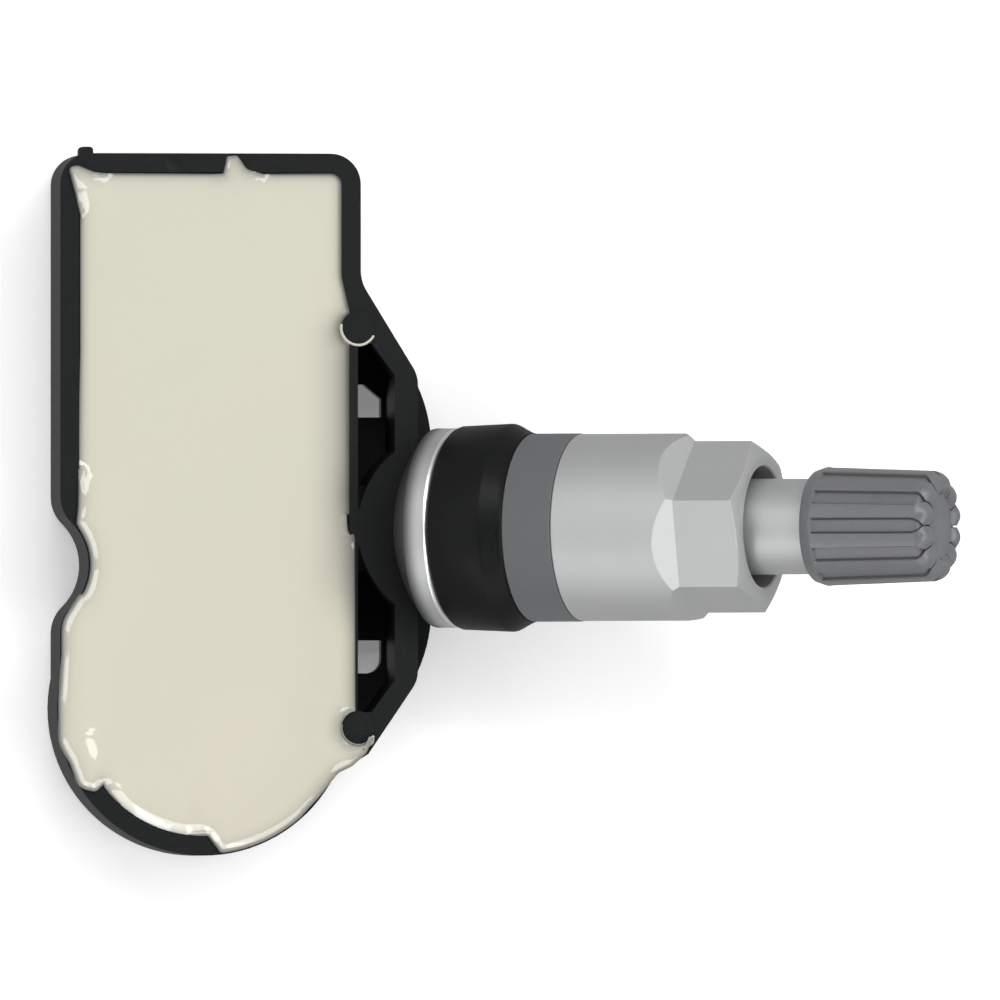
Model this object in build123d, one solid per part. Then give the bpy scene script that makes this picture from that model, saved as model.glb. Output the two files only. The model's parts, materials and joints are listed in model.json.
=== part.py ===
from build123d import *
import math

# Tyre pressure sensor with a clamp-in metal valve, in millimetres.
# The sensor lies on the flat back of its housing, potted side up, with the valve rising towards +X.
# The origin is on the back face, straight below the pole of the stem's domed foot.

# Housing
housing_height = 9.0        # back face to the top of the wall
floor_thick = 1.2           # tray floor
wall_thick = 1.5            # tray wall
partition_thick = 0.65      # thin wall between the resin and the bracket cavity
tray_left_x = -27.35
tray_right_x = -3.6
tray_top_y = 29.45
tray_corner_r = 2.4
back_edge_r = 0.6           # rounding around the back face
lobe_x = -16.0              # round end that holds the coin cell
lobe_y = -14.2
lobe_r = 11.6
neck_y = -2.9               # waist on the outer side
neck_depth = 2.25
neck_r = 4.6
neck_blend_r = 3.0
bracket_front_x = 0.92      # front of the bracket flange
bracket_back_x = -0.9       # cavity side of the bracket flange
bracket_half_y = 12.0       # half length of the straight flange
bracket_root_y = 19.4       # where the bracket runs out on the tray
bracket_root_r = 3.0
bracket_tail_x = -3.0       # lower end, where it meets the cell lobe
bracket_tail_y = -17.8
bracket_tail_slope = 0.62
bracket_corner_r = 2.5
ledge_front_x = 2.6
ledge_half_y = 6.3          # half length of the straight front, before its rounded ends
ledge_height = 3.0
ledge_end_r = 12.0
cavity_floor_z = 1.6
cavity_end_half_y = 14.5    # cavity ends, beside the posts
cavity_end_width = 1.1
post_r = 1.32               # round posts at the ends of the cavity
post_x = -3.8
post_half_y = 15.75
post_stand = 0.1            # posts stand this far above the wall
pocket_high_y = 19.8        # the resin's side starts to turn towards the upper post here
window_half_x = 0.95        # floor windows of the cavity
window_x = -2.2
window_y = 10.1
window_length = 2.6
window_corner = 1.15        # slanted at the upper window, round at the lower one
window_slope = 1.2
gate_x = -25.3              # trimmed gate on the top edge
gate_width = 1.1
gate_height = 0.5
gate_depth = 1.6
gate_corner_r = 0.3
mark_x = -18.5              # round ejector mark on the wall top
mark_r = 0.55
mark_depth = 0.06

# Swivel joint between the stem's domed foot and the housing
stem_angle = 26.5           # valve axis above the back face
pole_z = 6.42               # height of the dome's pole
dome_r = 12.0
socket_gap = 0.06
socket_wall = 2.0           # socket thickness under the screw head
socket_roof = 0.55          # skin left over the screw's slot
swivel_up = 10.0
swivel_down = 2.5
socket_back_r = 7.6         # round back of the socket in the cavity

# Valve stem, stations t measured along its axis from the dome's pole
foot_r = 7.85
flange_end = 4.95
flange_chamfer = 0.5
flange_chamfer_r = 0.3      # its radial width
neck_thread_r = 5.0         # thread for the collar nut
neck_thread_end = 25.0
stem_r = 3.76               # thread for the cap
stem_end = 42.4
stem_chamfer = 0.4
air_bore_r = 1.3
core_bore_r = 1.9
core_bore_start = 22.5
core_head_bore_r = 2.6
core_head_start = 36.2
screw_bore_cone = 0.4       # lengths of the cones where the bore changes width
core_bore_cone = 0.6
core_head_cone = 0.7

# Screw through the socket
screw_r = 1.7
screw_fit = 0.05
screw_depth = 6.0
screw_head_r = 2.4
screw_head_height = 2.2
screw_head_gap = 0.03
screw_head_chamfer = 0.3
screw_end_play = 0.5        # the screw ends this far before its bore does
screw_bore_r = 0.5
screw_star_r = 1.25
screw_star_depth = 1.2
screw_way = 0.2             # free space around the head and shank
face_gap = 0.03             # running gap between faces that turn or part
turret_wall = 0.8

# Gasket, washer and nut
gasket_r = 8.19
gasket_start_r = 8.02       # the drum widens a little towards its shoulder
gasket_shoulder = 9.5
gasket_end = 10.97
gasket_end_r = 7.42
gasket_lip = 0.4            # short cylinder at the end of the cone
gasket_neck_r = 5.65
gasket_neck_end = 13.5
gasket_edge_r = 0.35
washer_r = 7.4
washer_length = 4.05
washer_floor = 1.4          # solid end that the nut presses on
washer_play = 0.1
washer_chamfer = 0.15
nut_r = 7.36
nut_length = 15.28
nut_flats = 12.0
nut_hex_length = 5.25
nut_slope = 41.0            # angle of the facets that run into the hexagon
nut_end_r = 5.45
nut_end_chamfer = 0.5
nut_bore_r = 4.75
nut_bore_length = 4.6
nut_bore_chamfer = 0.15
nut_bore_step = 0.2         # cone between the thread and the wider end of the bore
nut_turn = -16.6            # how the hexagon stands about the axis
thread_play = 0.05

# Cap
cap_start = 34.75
cap_lip_r = 4.4
cap_r = 4.68
cap_lip_length = 0.9
cap_end_r = 4.39
cap_length = 10.75
cap_shoulder_r = 1.3
cap_end_wall = 2.0
cap_rib_count = 12
cap_groove_width = 1.25
cap_groove_depth = 0.3
cap_groove_start = 1.0      # grooves begin this far from the lip
cap_arch_length = 1.25      # a groove ends in a pointed arch of this length
cap_arch_gap = 0.35         # and stops this far below the cap's end
cap_recess_r = 2.5
cap_recess_depth = 0.4
cap_seal_r = 3.7
cap_thread_play = 0.06

# Valve core
core_barrel_start = 27.5
core_barrel_end = 41.7
core_barrel_r = 1.7
core_inner_r = 1.0
core_foot_hole_r = 0.75
core_foot_length = 1.5
core_top_slot = 1.0
core_top_half_width = 1.35  # half width across the two flats at its head
core_packing_seat = 0.35    # depth of the packing's groove
core_head_play = 0.05
core_head_slope = 0.6
core_packing_place = 2.5    # from the barrel's inner end
core_packing_length = 2.2
core_packing_taper = 0.1
pin_r = 0.45
pin_start = 24.6
pin_end = 42.1
pin_collar_r = 0.85
pin_collar_length = 0.4
pin_collar_end = 40.6
pin_cup_r = 1.35
pin_cup_length = 0.5
pin_tip_chamfer = 0.2
seal_length = 1.2
seal_r = 1.4
seal_edge = 0.3
spring_wire_r = 0.11
spring_wire_sides = 8       # the thin wire is drawn with flats
spring_turns = 8

# Electronics under the resin
resin_level = 8.6
resin_film = 0.12           # where the resin has run over the wall
spill_reach = 1.6           # it reaches this far in from the wall
spill_margin = 0.12         # and leaves this much of the wall's outer edge bare
spill_top = 0.4             # the run covers the outer wall between these two heights in plan
spill_bottom = -20.4
spill_angle = 31.0          # lie of the second run, around the lower end
spill_length = 16.0
spill_x = -8.3
spill_y = -22.6
tongue_x = -13.5
tongue_width = 1.5
board_z = 5.2
board_thick = 0.8
board_inset = 0.5
board_clearance = 0.3       # round the turret and the posts
board_post_r = 0.9
board_post_inset = 1.2      # their distance from the tray's walls
board_post_low_y = 4.0      # the two lower posts
cell_r = 10.0
cell_thick = 3.2
cell_rim = 0.5
tab_thick = 0.2
tab_width = 4.0
positive_tab_place = 7.0    # left of the cell's middle
positive_tab_reach = 1.0    # it turns up this far beside the cell
negative_tab_place = 1.0
negative_tab_length = 9.0
negative_tab_end = 3.0      # it turns up this far in from the cell's edge
chip_x = -16.0
chip_to_edge = 20.45        # the board's parts keep these distances from the tray's top edge
chip_length = 6.0
chip_width = 5.0
chip_height = 1.6
port_tube_r = 2.0
port_hole_r = 0.8
membrane_r = 1.8
membrane_thick = 0.3
coil_x = -16.0
coil_to_edge = 8.95
coil_length = 8.0
coil_flange = 1.0
coil_height = 2.6
coil_wire_depth = 0.35
crystal_x = -9.0
crystal_to_edge = 17.45
crystal_length = 3.2
crystal_width = 2.5
crystal_height = 0.8
crystal_corner = 0.3
capacitor_length = 1.0
capacitor_width = 0.5
capacitor_pitch = 1.6
capacitor_count = 6
capacitor_x = -22.5
capacitor_to_edge = 23.45   # the first of the row
antenna_width = 15.0
antenna_height = 1.7
antenna_strip = 1.2
antenna_thick = 0.3
antenna_to_edge = 4.45

# Values worked out from the driving dimensions
top_z = housing_height
swivel_mid = stem_angle + (swivel_up - swivel_down) / 2
swivel_half = math.radians((swivel_up + swivel_down) / 2)
stem_dir = Vector(math.cos(math.radians(stem_angle)), 0, math.sin(math.radians(stem_angle)))
swivel_centre = Vector(0, 0, pole_z) + stem_dir * dome_r
seat_r = dome_r + socket_wall
partition_x = bracket_back_x - 2.93
resin_edge_x = partition_x - partition_thick
core_packing_start = core_barrel_start + core_packing_place
chip_y = tray_top_y - chip_to_edge
coil_y = tray_top_y - coil_to_edge
crystal_y = tray_top_y - crystal_to_edge
capacitor_y = tray_top_y - capacitor_to_edge
antenna_y = tray_top_y - antenna_to_edge


def on_stem(shape):
    """Turn a shape drawn upwards from t = 0 onto the valve axis."""
    turned = Location((0, 0, 0), (0, 90 - stem_angle, 0))
    start = Location(tuple(swivel_centre)) * turned * Location((0, 0, -dome_r))
    return start * shape


def ring_profile(points):
    """A turned part from its half section, given as radius and station."""
    section = make_face(Polyline(*[(r, 0, t) for r, t in points], close=True))
    return revolve(section, Axis.Z)


def plate(x0, x1, y0, y1):
    return Pos((x0 + x1) / 2, (y0 + y1) / 2) * Rectangle(x1 - x0, y1 - y0)


def block(x0, x1, y0, y1, z0, z1):
    return Pos(0, 0, z0) * extrude(plate(x0, x1, y0, y1), z1 - z0)


def corners_near(sketch, *points):
    """The corners of a sketch that lie nearest the given points."""
    return [min(sketch.vertices(), key=lambda v: math.dist((v.X, v.Y), p)) for p in points]


def tray_outline():
    """Straight tray, round cell lobe and the waist between them."""
    slab = plate(tray_left_x, tray_right_x, lobe_y, tray_top_y)
    slab = fillet(corners_near(slab, (tray_left_x, tray_top_y), (tray_right_x, tray_top_y)), tray_corner_r)
    tray = slab + Pos(lobe_x, lobe_y) * Circle(lobe_r)
    neck_x = tray_left_x + neck_depth - neck_r
    tray -= Pos(neck_x, neck_y) * Circle(neck_r)
    rise = math.sqrt(neck_r ** 2 - (neck_r - neck_depth) ** 2)
    ends = [(tray_left_x, neck_y + rise), (tray_left_x, neck_y - rise)]
    return fillet(corners_near(tray, *ends), neck_blend_r)


def bracket_outline():
    """Flange in front of the tray that carries the socket."""
    tail = 4.0
    corners = [
        (tray_right_x - tail, bracket_root_y),
        (tray_right_x, bracket_root_y),
        (bracket_front_x, bracket_half_y),
        (bracket_front_x, -bracket_half_y),
        (bracket_tail_x, bracket_tail_y),
        (bracket_tail_x - tail, bracket_tail_y - tail * bracket_tail_slope),
    ]
    shape = make_face(Polyline(*corners, close=True))
    round_these = corners_near(shape, corners[2], corners[3])
    return fillet(round_these, bracket_corner_r)


def body_outline():
    outline = tray_outline() + bracket_outline()
    return fillet(corners_near(outline, (tray_right_x, bracket_root_y)), bracket_root_r)


def ledge_outline():
    middle_x = ledge_front_x - ledge_end_r
    shape = plate(middle_x, ledge_front_x, -ledge_half_y, ledge_half_y)
    for side in (1, -1):
        shape += Pos(middle_x, side * ledge_half_y) * Circle(ledge_end_r)
    return shape & plate(tray_right_x, ledge_front_x, -bracket_root_y, bracket_root_y)


def pocket_outline():
    """Inside of the tray, up to the partition beside the bracket cavity and round to the posts."""
    pocket = offset(tray_outline(), -wall_thick, kind=Kind.ARC)
    inner_x = tray_right_x - wall_thick
    pocket += make_face(Polyline(
        (inner_x - 6.0, pocket_high_y),
        (inner_x, pocket_high_y),
        (resin_edge_x, post_half_y + post_r),
        (resin_edge_x, -post_half_y - post_r),
        (inner_x - 6.0, -post_half_y - post_r),
        close=True,
    ))
    beyond = plate(resin_edge_x, 10, -40, 40)
    return pocket - beyond


def cavity_outline():
    """Open pocket between the partition and the flange, with the socket's round back left standing."""
    corners = [
        (partition_x, cavity_end_half_y),
        (partition_x + cavity_end_width, cavity_end_half_y),
        (bracket_back_x, bracket_half_y),
        (bracket_back_x, -bracket_half_y),
        (partition_x + cavity_end_width, -cavity_end_half_y),
        (partition_x, -cavity_end_half_y),
    ]
    shape = make_face(Polyline(*corners, close=True))
    shape -= Pos(partition_x + socket_back_r, 0) * Circle(socket_back_r)
    return shape


def stadium(radius, half_length):
    """Slot section that leaves room for a round part to swing in the XZ plane."""
    if half_length < 0.01:
        return Circle(radius)
    return SlotCenterToCenter(2 * half_length, 2 * radius)


def along_axis(section, near, far):
    """Prism of a section along the middle of the swivel range, between two distances from its centre."""
    turned = Location((0, 0, 0), (0, 90 - swivel_mid, 0))
    start = Location(tuple(swivel_centre)) * turned * Location((0, 0, -far))
    return start * extrude(section, far - near)


def post(side):
    return Pos(post_x, side * post_half_y, 0) * extrude(Circle(post_r), top_z + post_stand)


head_swing = (seat_r + screw_head_height) * math.sin(swivel_half)
shank_swing = seat_r * math.sin(swivel_half)
channel_far = seat_r + 2.0 * housing_height / math.sin(math.radians(swivel_mid))


def screw_space(extra):
    """Way for the screw head and the driver, thicker by extra for the turret around it."""
    section = stadium(screw_head_r + screw_way + extra, head_swing)
    return along_axis(section, dome_r - 0.5, channel_far)


def turret():
    return screw_space(turret_wall) & extrude(body_outline(), top_z)


def under_roof():
    """Space below the skin that closes the socket at the top."""
    return block(2 * tray_left_x, 20, -20, 20, -20, top_z - socket_roof)


def board_post_places():
    left = tray_left_x + wall_thick + board_post_inset
    right = tray_right_x - wall_thick - board_post_inset
    high = tray_top_y - wall_thick - board_post_inset
    return [(left, high), (right, high), (left, board_post_low_y), (right, board_post_low_y)]


def make_housing():
    body = extrude(body_outline(), top_z)
    back = body.faces().sort_by(Axis.Z)[0]
    body = fillet(back.edges(), back_edge_r)
    body -= Pos(0, 0, floor_thick) * extrude(pocket_outline(), top_z)
    body -= Pos(0, 0, cavity_floor_z) * extrude(cavity_outline(), top_z)
    body += extrude(ledge_outline() - tray_outline() - cavity_outline(), ledge_height)
    body += turret()
    for side in (1, -1):
        body += post(side)
    for x, y in board_post_places():
        body += Pos(x, y, 0) * extrude(Circle(board_post_r), board_z)
    body -= Location(tuple(swivel_centre)) * Sphere(dome_r + socket_gap)
    seat_ball = Location(tuple(swivel_centre)) * Sphere(seat_r)
    body -= (screw_space(0.0) - seat_ball) & under_roof()
    shank_slot = stadium(screw_r + screw_way, shank_swing)
    body -= along_axis(shank_slot, dome_r - 2, seat_r + 1) & under_roof()
    for side in (1, -1):
        y = side * window_y
        window = plate(window_x - window_half_x, window_x + window_half_x, y - window_length / 2,
                       y + window_length / 2)
        corner = corners_near(window, (0, side * bracket_root_y))
        if side > 0:
            window = chamfer(corner, window_corner, window_corner * window_slope)
        else:
            window = fillet(corner, window_corner)
        body -= extrude(window, top_z)
    body -= Pos(chip_x, chip_y, 0) * extrude(Circle(port_hole_r), top_z)
    body -= Pos(chip_x, chip_y, 0) * extrude(Circle(membrane_r), membrane_thick)
    gate = plate(gate_x - gate_width / 2, gate_x + gate_width / 2, tray_top_y - 1, tray_top_y + gate_height)
    gate_ends = corners_near(gate, (gate_x - 1, tray_top_y + 1), (gate_x + 1, tray_top_y + 1))
    gate = fillet(gate_ends, gate_corner_r)
    body += Pos(0, 0, top_z - gate_depth) * extrude(gate, gate_depth)
    mark_y = tray_top_y - wall_thick / 2
    body -= Pos(mark_x, mark_y, top_z - mark_depth) * extrude(Circle(mark_r), 1)
    return body


def make_stem():
    base_t = dome_r - math.sqrt(dome_r ** 2 - foot_r ** 2)
    half = dome_r * math.sin(math.asin(foot_r / dome_r) / 2)
    half_t = dome_r - math.sqrt(dome_r ** 2 - half ** 2)
    dome = ThreePointArc((0, 0, 0), (half, 0, half_t), (foot_r, 0, base_t))
    rest = Polyline(
        (foot_r, 0, base_t),
        (foot_r, 0, flange_end - flange_chamfer),
        (foot_r - flange_chamfer_r, 0, flange_end),
        (neck_thread_r, 0, flange_end),
        (neck_thread_r, 0, neck_thread_end - stem_chamfer),
        (neck_thread_r - stem_chamfer, 0, neck_thread_end),
        (stem_r, 0, neck_thread_end),
        (stem_r, 0, stem_end - stem_chamfer),
        (stem_r - stem_chamfer, 0, stem_end),
        (0, 0, stem_end),
        (0, 0, 0),
    )
    body = revolve(make_face(dome + rest), Axis.Z)
    bore = ring_profile([
        (0, -1),
        (screw_r + screw_fit, -1),
        (screw_r + screw_fit, screw_depth),
        (air_bore_r, screw_depth + screw_bore_cone),
        (air_bore_r, core_bore_start),
        (core_bore_r, core_bore_start + core_bore_cone),
        (core_bore_r, core_head_start - core_head_cone),
        (core_head_bore_r, core_head_start),
        (core_head_bore_r, stem_end + 1),
        (0, stem_end + 1),
    ])
    return on_stem(body - bore)


def star(radius, depth):
    """Six-lobe driver recess."""
    shape = Circle(radius * 0.78)
    for k in range(6):
        a = math.radians(60 * k)
        shape += Pos(0.72 * radius * math.cos(a), 0.72 * radius * math.sin(a)) * Circle(radius * 0.28)
    return extrude(shape, depth)


def make_screw():
    head_out = -socket_wall - screw_head_height
    shank_start = head_out + screw_head_height / 2
    shank = Pos(0, 0, shank_start) * extrude(Circle(screw_r), screw_depth - screw_end_play - shank_start)
    head = Pos(0, 0, head_out) * extrude(Circle(screw_head_r), screw_head_height + socket_wall / 2)
    head = chamfer(head.edges().sort_by(Axis.Z)[0], screw_head_chamfer)
    ball = Pos(0, 0, dome_r) * Sphere(seat_r + screw_head_gap)
    screw = (head - ball) + shank
    screw -= Pos(0, 0, head_out) * star(screw_star_r, screw_star_depth)
    screw -= Pos(0, 0, head_out) * extrude(Circle(screw_bore_r), screw_depth - head_out)
    return on_stem(screw)


def make_gasket():
    section = [
        (neck_thread_r, flange_end),
        (gasket_start_r - gasket_edge_r, flange_end),
        (gasket_start_r, flange_end + gasket_edge_r),
        (gasket_r, gasket_shoulder - gasket_edge_r / 2),
        (gasket_r - gasket_edge_r / 2, gasket_shoulder),
        (gasket_end_r + gasket_lip / 5, gasket_end - gasket_lip),
        (gasket_end_r, gasket_end),
        (gasket_neck_r, gasket_end),
        (gasket_neck_r, gasket_neck_end),
        (neck_thread_r, gasket_neck_end),
    ]
    return on_stem(ring_profile(section))


washer_end = gasket_end + washer_length


def make_washer():
    bore = neck_thread_r + thread_play
    cup = gasket_neck_r + washer_play
    start = gasket_end + face_gap
    section = [
        (cup, start),
        (washer_r - washer_chamfer, start),
        (washer_r, start + washer_chamfer),
        (washer_r, washer_end - washer_chamfer),
        (washer_r - washer_chamfer, washer_end),
        (bore, washer_end),
        (bore, washer_end - washer_floor),
        (cup, washer_end - washer_floor),
    ]
    return on_stem(ring_profile(section))


def make_nut():
    nut_start = washer_end + face_gap
    nut_end = washer_end + nut_length
    hex_start = nut_end - nut_hex_length
    apothem = nut_flats / 2
    hexagon = Rot(0, 0, nut_turn) * RegularPolygon(apothem, 6, major_radius=False)
    prism = Pos(0, 0, hex_start) * extrude(hexagon, nut_hex_length)
    cone = ring_profile([
        (0, hex_start - 1),
        (nut_r, hex_start - 1),
        (nut_r, nut_end - nut_end_chamfer),
        (apothem / math.cos(math.pi / 6), nut_end - nut_end_chamfer),
        (nut_end_r, nut_end),
        (0, nut_end),
    ])
    slope_run = (nut_r - apothem) / math.tan(math.radians(nut_slope))
    facets = Location((0, 0, hex_start), (180, 0, 0)) * extrude(
        Rot(0, 0, -nut_turn) * RegularPolygon(apothem, 6, major_radius=False), slope_run, taper=-nut_slope)
    collar_end = hex_start - slope_run
    collar = Pos(0, 0, nut_start) * extrude(Circle(nut_r), collar_end - nut_start)
    drum = Pos(0, 0, nut_start) * extrude(Circle(nut_r), nut_end - nut_start)
    body = collar + (facets & drum) + (prism & cone)
    bore = ring_profile([
        (0, washer_end - 1),
        (neck_thread_r + thread_play, washer_end - 1),
        (neck_thread_r + thread_play, nut_end - nut_bore_length),
        (nut_bore_r, nut_end - nut_bore_length + nut_bore_step),
        (nut_bore_r, nut_end - nut_bore_chamfer),
        (nut_bore_r + nut_bore_chamfer, nut_end),
        (nut_bore_r + nut_bore_chamfer, nut_end + 1),
        (0, nut_end + 1),
    ])
    return on_stem(body - bore)


cap_end = cap_start + cap_length
cap_inner_end = cap_end - cap_end_wall


def cap_profile(inset):
    """Outside of the cap, smaller by inset for the floor of the grooves."""
    foot = cap_start + cap_lip_length
    shoulder = cap_end - cap_shoulder_r
    bend = cap_shoulder_r * (1 - math.sqrt(0.5))
    low = Polyline(
        (0, 0, cap_start),
        (cap_lip_r - inset, 0, cap_start),
        (cap_r - inset, 0, foot),
        (cap_end_r - inset, 0, shoulder - inset),
    )
    turn = ThreePointArc(
        (cap_end_r - inset, 0, shoulder - inset),
        (cap_end_r - inset - bend, 0, cap_end - inset - bend),
        (cap_end_r - inset - cap_shoulder_r, 0, cap_end - inset),
    )
    high = Polyline(
        (cap_end_r - inset - cap_shoulder_r, 0, cap_end - inset),
        (0, 0, cap_end - inset),
        (0, 0, cap_start),
    )
    return revolve(make_face(low + turn + high), Axis.Z)


def cap_groove():
    """Way of one groove, a bar that points outwards and narrows to the tip of its arch."""
    half = cap_groove_width / 2
    tip = cap_end - cap_arch_gap
    foot = tip - cap_arch_length
    start = cap_start + cap_groove_start
    bulge = 0.62
    middle = foot + cap_arch_length / 2
    side = Polyline((-half, foot), (-half, start), (half, start), (half, foot))
    right = ThreePointArc((half, foot), (half * bulge, middle), (0, tip))
    left = ThreePointArc((0, tip), (-half * bulge, middle), (-half, foot))
    plan = make_face(side + right + left)
    return Plane.YZ * extrude(plan, 2 * cap_r)


def make_cap():
    body = cap_profile(0.0)
    inner = cap_profile(cap_groove_depth)
    shell = body - inner
    groove = shell & cap_groove()
    for k in range(cap_rib_count):
        body -= Rot(0, 0, 360 * k / cap_rib_count) * groove
    body -= Pos(0, 0, cap_end - cap_recess_depth) * extrude(Circle(cap_recess_r), 2)
    bore_r = stem_r + cap_thread_play
    body -= Pos(0, 0, cap_start - 1) * extrude(Circle(bore_r), cap_inner_end - cap_start + 1)
    return on_stem(body)


def make_cap_seal():
    thick = cap_inner_end - stem_end - 2 * face_gap
    return on_stem(Pos(0, 0, stem_end + face_gap) * extrude(Circle(cap_seal_r), thick))


def make_core_barrel():
    foot_end = core_barrel_start + core_foot_length
    head_r = core_head_bore_r - core_head_play
    seat_r = core_barrel_r - core_packing_seat
    section = [
        (core_foot_hole_r, core_barrel_start),
        (core_barrel_r, core_barrel_start),
        (core_barrel_r, core_packing_start),
        (seat_r, core_packing_start),
        (seat_r, core_packing_start + core_packing_length),
        (core_barrel_r, core_packing_start + core_packing_length),
        (core_barrel_r, core_head_start),
        (head_r, core_head_start + core_head_slope),
        (head_r, core_barrel_end),
        (core_inner_r, core_barrel_end),
        (core_inner_r, foot_end),
        (core_foot_hole_r, foot_end),
    ]
    body = ring_profile(section)
    for side in (1, -1):
        place = Pos(side * (core_top_half_width + head_r / 2), 0, core_barrel_end)
        body -= place * Box(head_r, 3 * head_r, 2 * core_top_slot)
    return on_stem(body)


def make_core_packing():
    seat_r = core_barrel_r - core_packing_seat
    section = [
        (seat_r, core_packing_start),
        (core_bore_r - core_packing_taper, core_packing_start),
        (core_bore_r, core_packing_start + core_packing_length / 3),
        (core_bore_r, core_packing_start + core_packing_length),
        (seat_r, core_packing_start + core_packing_length),
    ]
    return on_stem(ring_profile(section))


def make_core_pin():
    collar_start = pin_collar_end - pin_collar_length
    cup_end = core_barrel_start - seal_length
    section = [
        (0, pin_start),
        (pin_r, pin_start),
        (pin_r, cup_end - pin_cup_length),
        (pin_cup_r, cup_end - pin_cup_length),
        (pin_cup_r, cup_end),
        (pin_r, cup_end),
        (pin_r, collar_start),
        (pin_collar_r, collar_start),
        (pin_collar_r, pin_collar_end),
        (pin_r, pin_collar_end),
        (pin_r, pin_end - pin_tip_chamfer),
        (pin_r - pin_tip_chamfer, pin_end),
        (0, pin_end),
    ]
    return on_stem(ring_profile(section))


def make_core_seal():
    start = core_barrel_start - seal_length
    end = core_barrel_start - face_gap
    section = [
        (pin_r, start),
        (seal_r, start),
        (seal_r, end - seal_edge),
        (seal_r - seal_edge, end),
        (pin_r, end),
    ]
    return on_stem(ring_profile(section))


def make_core_spring():
    low = core_barrel_start + core_foot_length + spring_wire_r
    high = pin_collar_end - pin_collar_length - spring_wire_r
    mean_r = (pin_r + core_inner_r) / 2
    path = Pos(0, 0, low) * Helix((high - low) / spring_turns, high - low, mean_r)
    start = Plane(origin=path @ 0, z_dir=path % 0)
    coil = sweep(start * RegularPolygon(spring_wire_r, spring_wire_sides), path=path, is_frenet=True)
    return on_stem(coil)


def make_cell():
    low = floor_thick + tab_thick
    body = Pos(lobe_x, lobe_y, low) * extrude(Circle(cell_r), cell_thick)
    body = chamfer(body.edges().sort_by(Axis.Z)[-1], cell_rim)
    return body


def make_tab_positive():
    """Strip under the cell that turns up to the board beside it."""
    low = floor_thick
    y0 = lobe_y
    y1 = lobe_y + cell_r + positive_tab_reach
    x0 = lobe_x - positive_tab_place
    flat = block(x0, x0 + tab_width, y0, y1, low, low + tab_thick)
    riser = block(x0, x0 + tab_width, y1 - tab_thick, y1, low, board_z)
    return flat + riser


def make_tab_negative():
    """Strip on the cell that steps up to the board."""
    low = floor_thick + tab_thick + cell_thick
    x0 = lobe_x - negative_tab_place
    y1 = lobe_y + cell_r - negative_tab_end
    flat = block(x0, x0 + tab_width, y1 - negative_tab_length, y1, low, low + tab_thick)
    riser = block(x0, x0 + tab_width, y1 - tab_thick, y1, low, board_z)
    return flat + riser


def make_board():
    outline = offset(pocket_outline(), -board_inset, kind=Kind.ARC)
    board = Pos(0, 0, board_z) * extrude(outline, board_thick)
    board -= screw_space(turret_wall + board_clearance)
    for side in (1, -1):
        board -= Pos(post_x, side * post_half_y, 0) * extrude(Circle(post_r + board_clearance), top_z)
    return board.solids().sort_by(SortBy.VOLUME)[-1]


def make_chip():
    body = block(chip_x - chip_length / 2, chip_x + chip_length / 2, chip_y - chip_width / 2,
                 chip_y + chip_width / 2, board_z - chip_height, board_z)
    return body - Pos(chip_x, chip_y, 0) * extrude(Circle(port_hole_r), board_z - chip_height / 2)


def make_port_seal():
    ring = Circle(port_tube_r) - Circle(port_hole_r)
    return Pos(chip_x, chip_y, floor_thick) * extrude(ring, board_z - chip_height - floor_thick)


def make_membrane():
    return Pos(chip_x, chip_y, 0) * extrude(Circle(membrane_r), membrane_thick)


def make_coil_core():
    low = board_z - coil_height
    body = block(coil_x - coil_length / 2, coil_x + coil_length / 2, coil_y - coil_height / 2,
                 coil_y + coil_height / 2, low, board_z)
    return body - coil_winding_space()


def coil_winding_space():
    inner = coil_height / 2 - 2 * coil_wire_depth
    reach = coil_length / 2 - coil_flange
    mid_z = board_z - coil_height / 2
    outer_box = Pos(coil_x, coil_y, mid_z) * Box(2 * reach, coil_height + 1, coil_height + 1)
    inner_box = Pos(coil_x, coil_y, mid_z) * Box(2 * reach, 2 * inner, 2 * inner)
    return outer_box - inner_box


def make_coil_winding():
    inner = coil_height / 2 - 2 * coil_wire_depth
    outer = coil_height / 2 - coil_wire_depth / 2
    reach = coil_length / 2 - coil_flange
    section = RectangleRounded(2 * outer, 2 * outer, coil_wire_depth) - Rectangle(2 * inner, 2 * inner)
    start = Location((coil_x - reach, coil_y, board_z - coil_height / 2), (0, 90, 0))
    return start * extrude(section, 2 * reach)


def make_crystal():
    half_x = crystal_length / 2
    half_y = crystal_width / 2
    body = block(crystal_x - half_x, crystal_x + half_x, crystal_y - half_y, crystal_y + half_y,
                 board_z - crystal_height, board_z)
    return chamfer(body.edges().filter_by(Axis.Z), crystal_corner)


def make_capacitors():
    parts = []
    x0 = capacitor_x - capacitor_length / 2
    x1 = capacitor_x + capacitor_length / 2
    for k in range(capacitor_count):
        y0 = capacitor_y + k * capacitor_pitch - capacitor_width / 2
        parts.append(block(x0, x1, y0, y0 + capacitor_width, board_z - capacitor_width, board_z))
    return Compound(children=parts)


def make_antenna():
    """Strip aerial that stands on two feet on the board."""
    low = board_z + board_thick
    x0 = (tray_left_x + tray_right_x) / 2 - antenna_width / 2
    x1 = x0 + antenna_width
    y0 = antenna_y - antenna_strip / 2
    y1 = antenna_y + antenna_strip / 2
    body = block(x0, x1, y0, y1, low + antenna_height - antenna_thick, low + antenna_height)
    for x in (x0, x1 - antenna_thick):
        body += block(x, x + antenna_thick, y0, y1, low, low + antenna_height)
    return body


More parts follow.
